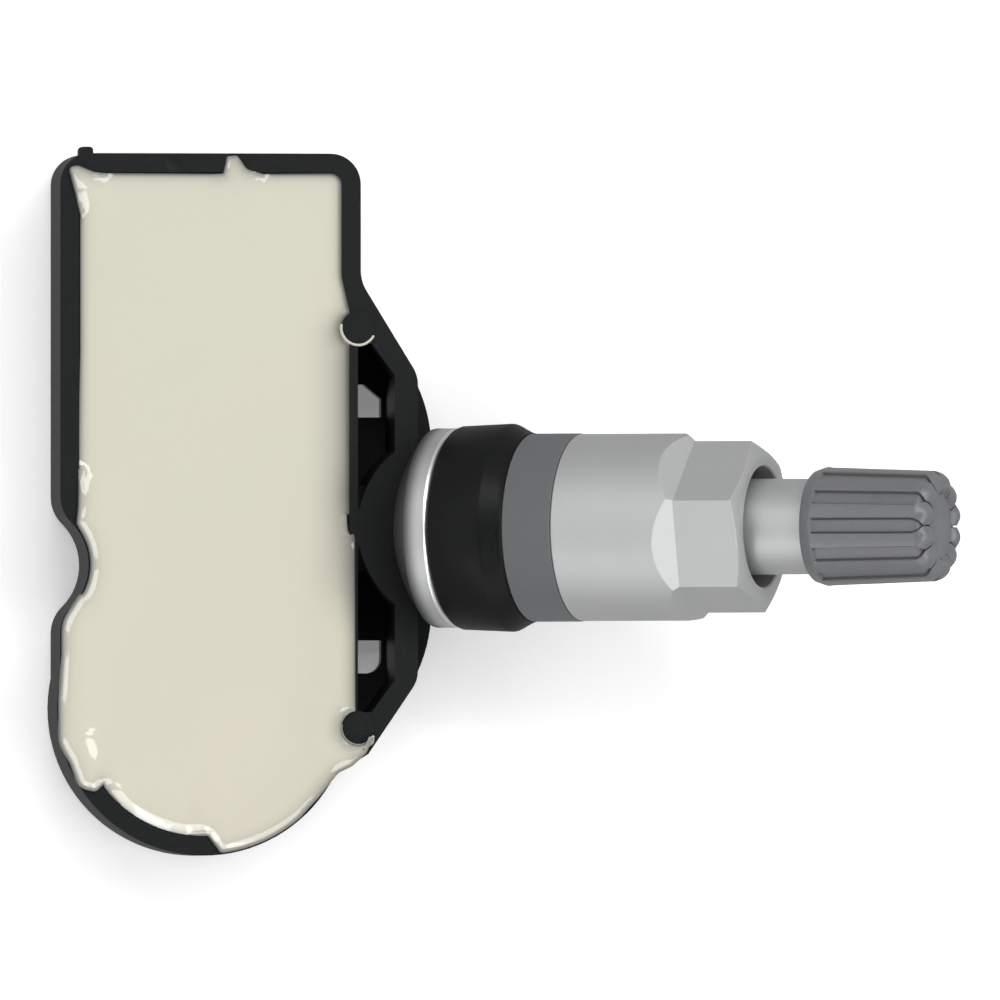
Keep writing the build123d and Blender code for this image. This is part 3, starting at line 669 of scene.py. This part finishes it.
foot_angle = math.asin(foot_radius / dome_radius)
bore_angle = math.asin(screw_bore / dome_radius)
dome = []
for k in range(13):
    a = bore_angle + (foot_angle - bore_angle) * k / 12
    dome.append((dome_radius * math.sin(a), dome_radius * (1 - math.cos(a))))
stem_mesh = turned(dome + [
    (foot_radius, flange_end - flange_chamfer),
    (foot_radius - flange_chamfer, flange_end),
    (nut_thread_radius, flange_end),
    (nut_thread_radius, nut_thread_start),
    (nut_thread_radius - nut_thread_depth, nut_thread_start + 0.5),
    (nut_thread_radius - nut_thread_depth, nut_thread_end - 0.1),
    (nut_thread_radius - nut_thread_depth - 0.1, nut_thread_end),
    (cap_thread_radius, nut_thread_end),
    (cap_thread_radius, cap_thread_start - 0.4),
    (cap_thread_radius - cap_thread_depth, cap_thread_start),
    (cap_thread_radius - cap_thread_depth, stem_end - 0.15),
    (cap_thread_radius - cap_thread_depth - 0.15, stem_end),
    (core_head_bore, stem_end),
    (core_head_bore, core_head_start),
    (core_bore, core_head_start - 0.7),
    (core_bore, core_bore_start),
    (air_bore, core_bore_start - 0.6),
    (air_bore, air_bore_start),
    (screw_bore, screw_bore_end),
], stem_edge)
for radius, start, end, pitch, depth in (
    (nut_thread_radius, nut_thread_start + 0.8, nut_thread_end - 0.5, nut_pitch, nut_thread_depth),
    (cap_thread_radius, cap_thread_start + 0.3, stem_end - 0.5, cap_pitch, cap_thread_depth),
):
    join(stem_mesh, thread(radius, start, end, pitch, depth))
stem_metal = turned_stem_metal()
stem = hand_over("turned_stem", onto_valve(stem_mesh), stem_metal, "valve", "valve_metal", "valve_stem")
shade_evenly(stem)
dress(rolled_metal("screw_steel", screw_steel, 0.36), "stem_screw")


# The rim gasket is a moulded rubber ring that grips the stem behind its flange. Its drum ends in a shoulder
# and a cone that centre it in the rim's hole, and a thin neck reaches into the washer.
gasket_radius = 8.19
gasket_start_radius = 8.02
gasket_shoulder = 9.5
gasket_end = 10.97
gasket_end_radius = 7.42
gasket_neck = 5.65
gasket_neck_end = 13.5
gasket_edge = 0.35
gasket_bore = nut_thread_radius - 0.2
rubber_black = (0.0045, 0.005, 0.005, 1)
rubber_grey = (0.009, 0.0095, 0.0095, 1)
gasket_mesh = turned([
    (gasket_bore, flange_end + 0.02),
    (gasket_start_radius - gasket_edge, flange_end + 0.02),
    (gasket_start_radius - 0.1, flange_end + 0.12),
    (gasket_start_radius, flange_end + gasket_edge),
    (gasket_radius, gasket_shoulder - 0.25),
    (gasket_radius - 0.03, gasket_shoulder - 0.1),
    (gasket_radius - 0.1, gasket_shoulder + 0.05),
    (gasket_radius - 0.2, gasket_shoulder + 0.22),
    (gasket_end_radius + 0.14, gasket_end - 0.42),
    (gasket_end_radius + 0.08, gasket_end - 0.3),
    (gasket_end_radius + 0.05, gasket_end - 0.1),
    (gasket_end_radius - 0.05, gasket_end),
    (gasket_neck, gasket_end),
    (gasket_neck, gasket_neck_end - 0.2),
    (gasket_neck - 0.2, gasket_neck_end),
    (gasket_bore, gasket_neck_end),
])
rubber = moulded_plastic("black_rubber", rubber_black, rubber_grey, 4200.0, 0.4, dull * 0.7)
hand_over("rim_gasket", onto_valve(gasket_mesh), rubber, "valve", "gasket_rubber", "rubber_gasket")


# The thrust washer is a ring of matt grey plastic. It is cupped over the gasket's neck, and the nut turns
# on its solid end.
washer_start = gasket_end + 0.03
washer_end = 15.02
washer_radius = 7.4
washer_floor = 1.4
washer_bore = nut_thread_radius + 0.05
washer_cup = gasket_neck + 0.1
washer_grey = (0.088, 0.091, 0.094, 1)
washer_light = (0.115, 0.118, 0.121, 1)
washer_mesh = turned([
    (washer_cup, washer_start),
    (washer_radius - 0.1, washer_start),
    (washer_radius, washer_start + 0.1),
    (washer_radius, washer_end - 0.1),
    (washer_radius - 0.1, washer_end),
    (washer_bore, washer_end),
    (washer_bore, washer_end - washer_floor),
    (washer_cup, washer_end - washer_floor),
])
matt_grey = moulded_plastic("matt_grey", washer_grey, washer_light, 3800.0, 0.62, 0.3)
hand_over("thrust_ring", onto_valve(washer_mesh), matt_grey, "washer", "washer_grey", "thrust_washer")


# The collar nut is turned from the same aluminium. Six slanting facets are milled into the collar, and run
# out in the 12 mm hexagon; its end is chamfered and counterbored. All its edges are tumbled soft.
nut_start = washer_end + 0.03
nut_end = washer_end + 15.28
nut_radius = 7.36
hex_start = nut_end - 5.25
hex_apothem = 6.0
hex_slope = math.radians(41)
hex_turn = math.radians(-16.6)
hex_end_radius = 5.45
hex_end_chamfer = 0.5
nut_bore = nut_thread_radius + 0.05
counterbore = 4.75
counterbore_depth = 4.6
nut_lip = 0.12
tumbled_edge = 0.13


def satin_metal():
    """The stem's anodised metal, a little duller."""
    finish = Finish("satin_aluminium")
    tone, sparkle, relief = blasted(finish)
    return finish.shade({
        "Base Color": tone,
        "Metallic": anodised,
        "Roughness": 0.54 + sparkle,
        "Normal": relief,
    })


def slice_off(bm, point, normal):
    """Cut away what lies beyond a plane and close the cut."""
    geom = bm.verts[:] + bm.edges[:] + bm.faces[:]
    cut = bmesh.ops.bisect_plane(bm, geom=geom, dist=weld / 10, plane_co=point, plane_no=normal,
                                 clear_outer=True)
    edges = [g for g in cut["geom_cut"] if isinstance(g, bmesh.types.BMEdge) and g.is_boundary]
    if edges:
        bmesh.ops.holes_fill(bm, edges=edges, sides=0)


def hex_directions():
    """The outward directions of the six flats."""
    turns = [hex_turn + math.radians(60 * k + 30) for k in range(6)]
    return [Vector((math.cos(a), math.sin(a), 0)) for a in turns]


collar_mesh = turned([
    (nut_bore, nut_start),
    (nut_radius - 0.1, nut_start),
    (nut_radius, nut_start + 0.1),
    (nut_radius, hex_start),
    (nut_bore, hex_start),
])
for direction in hex_directions():
    point = direction * hex_apothem * mm + Vector((0, 0, hex_start * mm))
    slice_off(collar_mesh, point, direction * math.cos(hex_slope) + Vector((0, 0, math.sin(hex_slope))))
corner_radius = hex_apothem / math.cos(math.pi / 6)
chamfer_slope = hex_end_chamfer / (corner_radius - hex_end_radius)
hex_mesh = turned([
    (nut_bore, hex_start),
    (nut_radius, hex_start),
    (nut_radius, nut_end - chamfer_slope * (nut_radius - hex_end_radius)),
    (hex_end_radius, nut_end),
    (counterbore + nut_lip, nut_end),
    (counterbore, nut_end - nut_lip),
    (counterbore, nut_end - counterbore_depth),
    (nut_bore, nut_end - counterbore_depth - 0.2),
])
for direction in hex_directions():
    slice_off(hex_mesh, direction * hex_apothem * mm, direction)
for part in (collar_mesh, hex_mesh):
    level = [f for f in part.faces if all(abs(v.co.z - hex_start * mm) < weld for v in f.verts)]
    bmesh.ops.delete(part, geom=level, context="FACES")
join(collar_mesh, hex_mesh)
bmesh.ops.remove_doubles(collar_mesh, verts=collar_mesh.verts, dist=weld * 2)
bmesh.ops.dissolve_limit(collar_mesh, angle_limit=flat_angle, verts=collar_mesh.verts,
                         edges=collar_mesh.edges)
bmesh.ops.recalc_face_normals(collar_mesh, faces=collar_mesh.faces)
soften(collar_mesh, tumbled_edge * mm, math.radians(18))
nut_metal = satin_metal()
nut = hand_over("hex_collar_nut", onto_valve(collar_mesh), nut_metal, "nut", "valve_metal", "collar_nut")
shade_evenly(nut)


# The valve core screws into the stem: a brass barrel with two flats, a packing ring, and a sprung pin whose
# rubber seat closes the barrel from inside. They keep the shapes of their nodes.
core_brass = (0.72, 0.50, 0.22, 1)
spring_steel = (0.55, 0.55, 0.56, 1)
dress(rolled_metal("turned_brass", core_brass, 0.3, 5000.0), "core_barrel", "core_pin")
dress(rolled_metal("spring_wire", spring_steel, 0.28), "core_spring")
dress(moulded_plastic("core_rubber", rubber_black, rubber_grey, 6000.0, 0.55), "core_packing", "core_seal")


# The dust cap is moulded in grey nylon. Twelve ribs run up its side and over its shoulder, where the grooves
# between them narrow to valleys, so that the ribs end as rounded petals round a shallow recess. A rubber
# disc seals the cap on the stem's end.
cap_start = 34.75
cap_end = 45.5
cap_lip_radius = 4.4
cap_lip_length = 0.9
cap_radius = 4.68
cap_end_radius = 4.39
cap_shoulder = 1.3
cap_bore = cap_thread_radius + 0.06
cap_bore_end = cap_end - 2.0
groove_count = 12
groove_width = 1.25
groove_depth = 0.3
groove_start = 1.0
arch_tip = cap_end - 0.35
arch_length = 1.25
recess_radius = 2.6
recess_depth = 0.57
shoulder_steps = 22
petal_fall = 0.32               # how much lower a rib's end lies at its sides than in its middle
valley_width = 0.1              # of full width, where a groove runs on as a valley between two rib ends
groove_steps = (0, 0.4, 0.7, 0.84, 0.9, 0.95, 1.0, 1.06)    # columns from a groove's middle, in half widths
rib_steps = (0.25, 0.55, 0.8, 1.0)                          # and over the rib beside it
groove_wall = 0.2               # half widths over which a groove's side rises
crevice_shade_band = (0.8, 0.96)      # half widths between which that side gets painted shade
cap_grey = (0.10, 0.103, 0.108, 1)
cap_light = (0.14, 0.143, 0.15, 1)
cap_crevice_shade = (0.028, 0.029, 0.031, 1)


def cap_outline():
    """The cap's closed section from the middle of its inner end to the middle of its recess."""
    side_end = cap_end - cap_shoulder
    side_base = cap_start + cap_lip_length
    inside = [
        (0, cap_bore_end), (cap_bore, cap_bore_end), (cap_bore, cap_start + 0.1), (cap_bore + 0.1, cap_start),
    ]
    lip = [
        (cap_lip_radius - 0.1, cap_start), (cap_lip_radius, cap_start + 0.1),
        (cap_radius - 0.03, side_base - 0.05), (cap_radius, side_base + 0.05),
    ]
    stations = [cap_start + groove_start + t for t in (0, 0.08, 0.18, 0.3)]
    stations += [side_end - t for t in (6.0, 4.0, 2.0, 0.6, 0.45, 0.3, 0.15)]
    taper = (cap_radius - cap_end_radius) / (side_end - side_base)
    straight = [(cap_radius - taper * (t - side_base), t) for t in stations]
    shoulder = []
    for k in range(shoulder_steps + 1):
        a = math.pi / 2 * k / shoulder_steps
        shoulder.append((cap_end_radius - cap_shoulder + cap_shoulder * math.cos(a),
                         side_end + cap_shoulder * math.sin(a)))
    floor = cap_end - recess_depth
    recess = [
        (recess_radius + 0.4, cap_end - 0.02), (recess_radius + 0.25, cap_end - 0.12),
        (recess_radius + 0.1, cap_end - 0.32), (recess_radius, floor + 0.06), (recess_radius - 0.1, floor),
        (0, floor),
    ]
    return inside + lip + straight + shoulder + recess


def groove_shape(r, t):
    """Half width and depth of a groove where the cap has this radius and station."""
    begin = settled((t - cap_start - groove_start) / 0.2)
    along = (t - arch_tip + arch_length) / arch_length
    half = groove_width / 2
    if along > 0:
        half *= max(valley_width, 1 - min(1.0, along) ** 2)
    inside = settled((r - recess_radius) / 0.12)
    return half, groove_depth * begin * inside


def cap_skin():
    """One groove and half a rib to each side, as a grid laid on the section and pressed in at the groove."""
    section = cap_outline()
    right = [(False, step) for step in groove_steps] + [(True, step) for step in rib_steps]
    columns = [(on_rib, -step) for on_rib, step in reversed(right[1:])] + right
    bm = bmesh.new()
    crevice = bm.verts.layers.float.new("crevice")
    bmesh.ops.create_grid(bm, x_segments=len(columns) - 1, y_segments=len(section) - 1, size=1.0)
    bm.verts.ensure_lookup_table()
    half_sector = math.pi / groove_count
    for j, (r, t) in enumerate(section):
        half, depth = groove_shape(r, t)
        bend = (t - cap_end + cap_shoulder) / cap_shoulder
        fall = petal_fall * settled(bend) * settled((r - recess_radius) / 0.3)
        edge = half * groove_steps[-1] / max(r, 1.0)
        up = min(1.0, max(0.0, bend))
        out = math.cos(math.asin(up))
        for i, (on_rib, step) in enumerate(columns):
            if on_rib:
                angle = math.copysign(edge + (half_sector - edge) * abs(step), step)
                press = fall * (1 - math.sin(math.pi / 2 * abs(step)))
            else:
                angle = step * half / max(r, 1.0)
                press = fall + depth * settled((groove_steps[-1] - abs(step)) / groove_wall)
            v = bm.verts[j * len(columns) + i]
            radius = (r - press * out) * mm
            v.co = (radius * math.cos(angle), radius * math.sin(angle), (t - press * up) * mm)
            # painted shade along the sides of a groove
            if not on_rib and crevice_shade_band[0] < abs(step) < crevice_shade_band[1] and depth > 0:
                v[crevice] = 1.0
    return bm


def ribbed_nylon():
    """Grey nylon with painted shade in the corners of its grooves."""
    finish = Finish("grey_nylon")
    cloud = finish.noise(180.0, 3.0)
    fine = finish.noise(3000.0, 3.0)
    tone = finish.mix(cloud * 0.4 + fine * 0.6, cap_grey, cap_light)
    crevice = finish.node("Attribute", {"attribute_name": "crevice"}, output=2)
    return finish.shade({
        "Base Color": finish.mix(crevice * 0.85, tone, cap_crevice_shade),
        "Roughness": 0.34 + (fine - 0.5) * 0.2,
        "Normal": finish.bump(fine, 0.02 * mm, 0.5),
        "Specular IOR Level": 0.5,
    })


cap_mesh = bmesh.new()
cap_mesh.verts.layers.float.new("crevice")
for k in range(groove_count):
    sector = cap_skin()
    turn = Matrix.Rotation(2 * math.pi * k / groove_count, 3, "Z")
    bmesh.ops.rotate(sector, cent=(0, 0, 0), matrix=turn, verts=sector.verts)
    join(cap_mesh, sector)
bmesh.ops.remove_doubles(cap_mesh, verts=cap_mesh.verts, dist=weld)
bmesh.ops.recalc_face_normals(cap_mesh, faces=cap_mesh.faces)
hand_over("ribbed_cap", onto_valve(cap_mesh), ribbed_nylon(), "cap", "cap_plastic", "valve_cap")
dress(rubber, "cap_seal")


# The studio is a pale floor under soft boxes that stand to the sides, so that the flat resin stays plain
# and only its rounded edges and the metal catch them. The camera looks down, six degrees off the vertical.
view_tilt = math.radians(6)     # how far the view leans off the vertical along X, and along Y
view_lean = math.radians(0.7)
view_right = Vector((math.cos(view_tilt), 0, math.sin(view_tilt)))
view_back = Matrix.Rotation(view_lean, 3, view_right) @ Vector((-math.sin(view_tilt), 0, math.cos(view_tilt)))
view_up = view_back.cross(view_right)
view_distance = 2.5
view_centre = Vector((7.43, 2.205, 8.82)) * mm
view_width = 1000 / 12.7 * mm   # the picture's width at the resin
sensor_width = 36               # of the camera, in mm
floor_size = 3.0
floor_white = (0.9, 0.9, 0.9, 1)
floor_light = (0.93, 0.93, 0.93, 1)
strip_distance = 0.8
strip_height = 0.18
strip_power = 3.4               # watts to the metre of a strip's width
strips = ((-30, 50, 0.5), (36, 50, 0.56), (75, 53, 0.46), (106, 56, 0.4))   # azimuth, elevation, width
sky_side = (0.55, 0.55, 0.55, 1)
sky_greys = ((0.0, 0.55), (0.5, 0.66), (0.62, 1), (0.82, 1), (0.97, 0.15))  # from below to overhead

floor_finish = Finish("pale_floor")
floor_fine = floor_finish.noise(900.0)
floor_material = floor_finish.shade({
    "Base Color": floor_finish.mix(floor_fine, floor_white, floor_light),
    "Roughness": 0.8,
    "Emission Color": (1, 1, 1, 1),
    "Emission Strength": 0.2,
})
floor_mesh = bmesh.new()
bmesh.ops.create_grid(floor_mesh, x_segments=1, y_segments=1, size=floor_size / 2)
floor_data = bpy.data.meshes.new("floor")
floor_mesh.to_mesh(floor_data)
floor_mesh.free()
floor_data.materials.append(floor_material)
floor = bpy.data.objects.new("floor", floor_data)
bpy.context.scene.collection.objects.link(floor)
floor.visible_glossy = False


def soft_box(name, azimuth, elevation, distance, width, height, power, mirrored=True):
    """A rectangular lamp that faces the sensor, seen from it at an azimuth from +X and an elevation.

    Angles are in degrees, lengths in metres and power in watts. Shiny surfaces mirror it unless told not to.
    """
    a, e = math.radians(azimuth), math.radians(elevation)
    place = Vector((math.cos(a) * math.cos(e), math.sin(a) * math.cos(e), math.sin(e))) * distance
    data = bpy.data.lights.new(name, "AREA")
    data.shape = "RECTANGLE"
    data.size = width
    data.size_y = height
    data.energy = power
    lamp = bpy.data.objects.new(name, data)
    lamp.location = place
    lamp.rotation_euler = place.to_track_quat("Z", "Y").to_euler()
    lamp.visible_glossy = mirrored
    bpy.context.scene.collection.objects.link(lamp)


for azimuth, elevation, width in strips:
    soft_box("strip_" + str(azimuth), azimuth, elevation, strip_distance, width, strip_height,
             width * strip_power)
soft_box("low_side", -90, 24, 0.9, 0.9, 0.5, 2.2)
soft_box("low_corner", 232, 32, 0.8, 0.25, 0.12, 0.6)
soft_box("left_wall", 180, 40, 0.9, 1.0, 0.4, 1.1)
soft_box("overhead", 0, 90, 1.2, 1.2, 1.2, 0.4, mirrored=False)

sky = Finish("studio", bpy.data.worlds)
split = sky.node("TexCoord").split()
sky_stops = [(place, (grey, grey, grey, 1)) for place, grey in sky_greys]
rise = sky.node("ValToRGB", {"stops": sky_stops}, {"Fac": split["Z"] * 0.5 + 0.5})
sky_light = sky.mix(split["Y"] * split["Y"], rise, sky_side)
sky.end(sky.node("Background", None, {"Color": sky_light, "Strength": 0.7}))
bpy.context.scene.world = sky.owner
bpy.context.scene.view_settings.view_transform = "Standard"

camera_data = bpy.data.cameras.new("camera")
camera_data.sensor_width = sensor_width
camera_data.lens = sensor_width * view_distance / view_width
camera_data.clip_end = 10
camera = bpy.data.objects.new("camera", camera_data)
turn = Matrix((view_right, view_up, view_back)).transposed()
camera.matrix_world = Matrix.Translation(view_centre + view_back * view_distance) @ turn.to_4x4()
bpy.context.scene.collection.objects.link(camera)
bpy.context.scene.camera = camera
